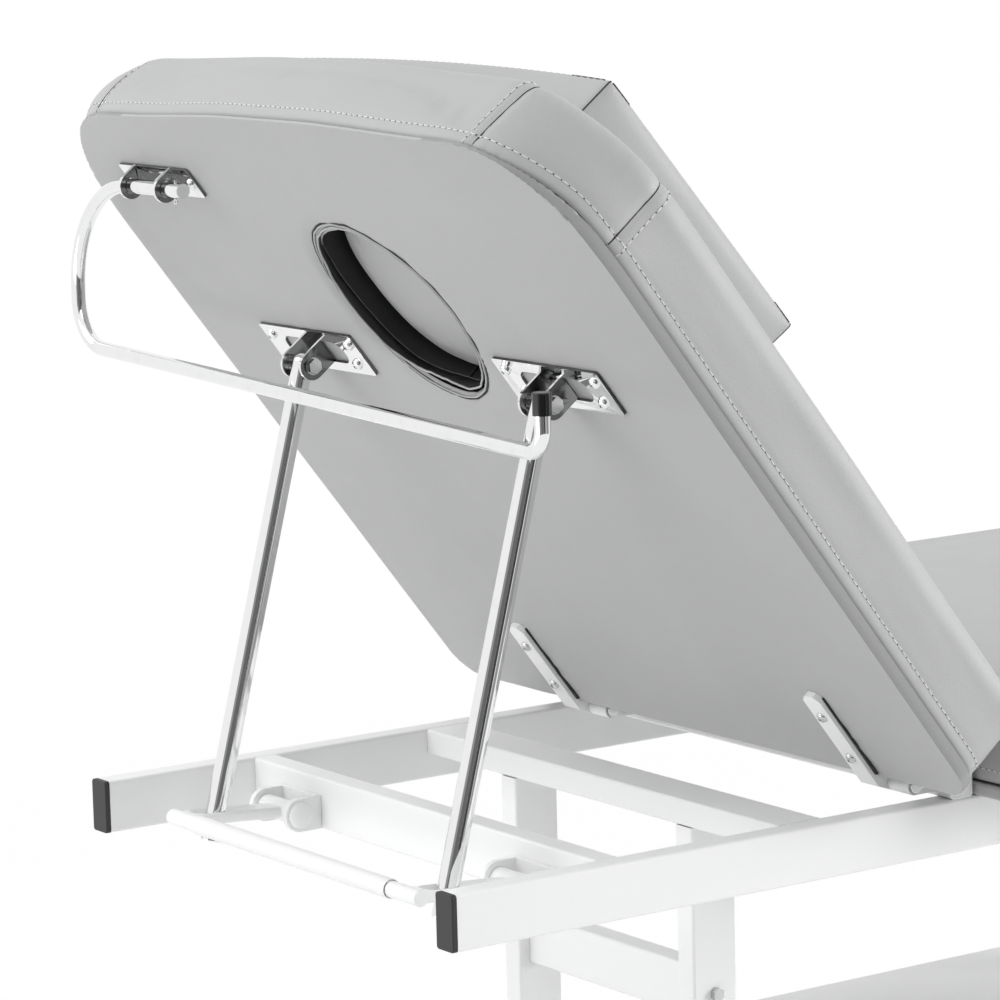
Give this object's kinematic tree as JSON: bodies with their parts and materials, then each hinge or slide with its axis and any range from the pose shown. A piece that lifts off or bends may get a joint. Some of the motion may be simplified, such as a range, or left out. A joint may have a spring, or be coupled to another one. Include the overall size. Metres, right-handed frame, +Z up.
{
  "type": "spa bed with cabinet base",
  "caption": "Padded spa bed with a lifting backrest, face hole and pillow on a white tube frame, propped by chrome friction rods, over a low cabinet with doors.",
  "frame": {"origin": "on the floor, under the middle of the whole bed's outline", "axes": "+X towards the foot end, +Y towards the side away from the cabinet doors, +Z up"},
  "size_m": [1.6304, 0.8, 1.338],
  "materials": {
    "frame_paint": "satin",
    "chrome": "polished",
    "zinc_steel": "satin",
    "grey_leather": "satin",
    "dark_lining": "matte",
    "black_plastic": "matte",
    "white_plastic": "satin",
    "cabinet_board": "satin",
    "black_board": "matte"
  },
  "bodies": {
    "base": {"side_rail_near": "frame_paint", "side_rail_far": "frame_paint", "stop_cross_tube": "frame_paint", "head_cross_tube": "frame_paint", "leg_cross_tube": "frame_paint", "foot_cross_tube": "frame_paint", "hinge_cross_tube": "frame_paint", "rail_cap_head_near": "black_plastic", "rail_cap_head_far": "black_plastic", "rail_cap_foot_near": "black_plastic", "rail_cap_foot_far": "black_plastic", "post_head_near": "frame_paint", "post_head_far": "frame_paint", "post_foot_near": "frame_paint", "post_foot_far": "frame_paint", "post_member_head": "frame_paint", "post_member_foot": "frame_paint", "post_tie_bolt_head": "zinc_steel", "post_tie_bolt_foot": "zinc_steel", "cabinet_top": "cabinet_board", "cabinet_bottom": "cabinet_board", "cabinet_end_head": "cabinet_board", "cabinet_end_foot": "cabinet_board", "cabinet_back": "cabinet_board", "cabinet_divider": "cabinet_board", "cabinet_plinth": "black_board", "door_hinge_head": "zinc_steel", "door_hinge_foot": "zinc_steel", "seat_board": "grey_leather", "seat_cushion": "grey_leather", "hinge_lug_near": "frame_paint", "hinge_lug_far": "frame_paint", "hinge_pin_near": "zinc_steel", "hinge_pin_far": "zinc_steel", "clevis_near": "frame_paint", "clevis_far": "frame_paint", "release_pin_near": "white_plastic", "release_pin_far": "white_plastic"},
    "backrest": {"backrest_board": "grey_leather", "backrest_cushion": "grey_leather", "face_hole_lining": "dark_lining", "head_pillow": "grey_leather", "strut_bracket_near": "chrome", "strut_bracket_far": "chrome", "strut_bolt_near": "zinc_steel", "strut_bolt_far": "zinc_steel", "hinge_arm_near": "frame_paint", "hinge_arm_far": "frame_paint", "paper_bracket": "chrome"},
    "rod_near": {"support_rod_near": "chrome"},
    "rod_far": {"support_rod_far": "chrome"},
    "release": {"release_frame": "frame_paint", "release_grip": "white_plastic"},
    "bail": {"paper_bail": "chrome", "bail_end_cap": "black_plastic", "bail_split_pin": "zinc_steel"},
    "door_head_leaf": {"door_head": "cabinet_board", "door_handle_head": "chrome"},
    "door_foot_leaf": {"door_foot": "cabinet_board", "door_handle_foot": "chrome"}
  },
  "joints": [
    {"name": "backrest_tilt", "type": "hinge", "parent": "base", "child": "backrest", "pos_m": [-0.30075, 0, 0.6665], "axis": [0, 1, 0], "range_deg": [-52.18, 0]},
    {"name": "rod_near_swing", "type": "hinge", "parent": "backrest", "child": "rod_near", "pos_m": [-0.63258, -0.194, 1.03935], "axis": [0, 1, 0], "range_deg": [-2.7, 0]},
    {"name": "rod_far_swing", "type": "hinge", "parent": "backrest", "child": "rod_far", "pos_m": [-0.63258, 0.194, 1.03935], "axis": [0, 1, 0], "range_deg": [-2.7, 0]},
    {"name": "release_lift", "type": "hinge", "parent": "base", "child": "release", "pos_m": [-0.67185, 0, 0.617], "axis": [0, 1, 0], "range_deg": [-44.5, 0]},
    {"name": "bail_swing", "type": "hinge", "parent": "backrest", "child": "bail", "pos_m": [-0.75845, 0.254, 1.21129], "axis": [0, 1, 0], "range_deg": [-31, 100]},
    {"name": "door_head_swing", "type": "hinge", "parent": "base", "child": "door_head_leaf", "pos_m": [-0.46935, -0.2803, 0.175], "axis": [0, 0, 1], "range_deg": [-110, 0]},
    {"name": "door_foot_swing", "type": "hinge", "parent": "base", "child": "door_foot_leaf", "pos_m": [0.40765, -0.2803, 0.175], "axis": [0, 0, 1], "range_deg": [0, 110]}
  ],
  "couplings": [
    {"joint": "rod_near_swing", "follows": "backrest_tilt", "ratio": 0.05},
    {"joint": "rod_far_swing", "follows": "backrest_tilt", "ratio": 0.05},
    {"joint": "release_lift", "follows": "backrest_tilt", "ratio": 0.85}
  ]
}
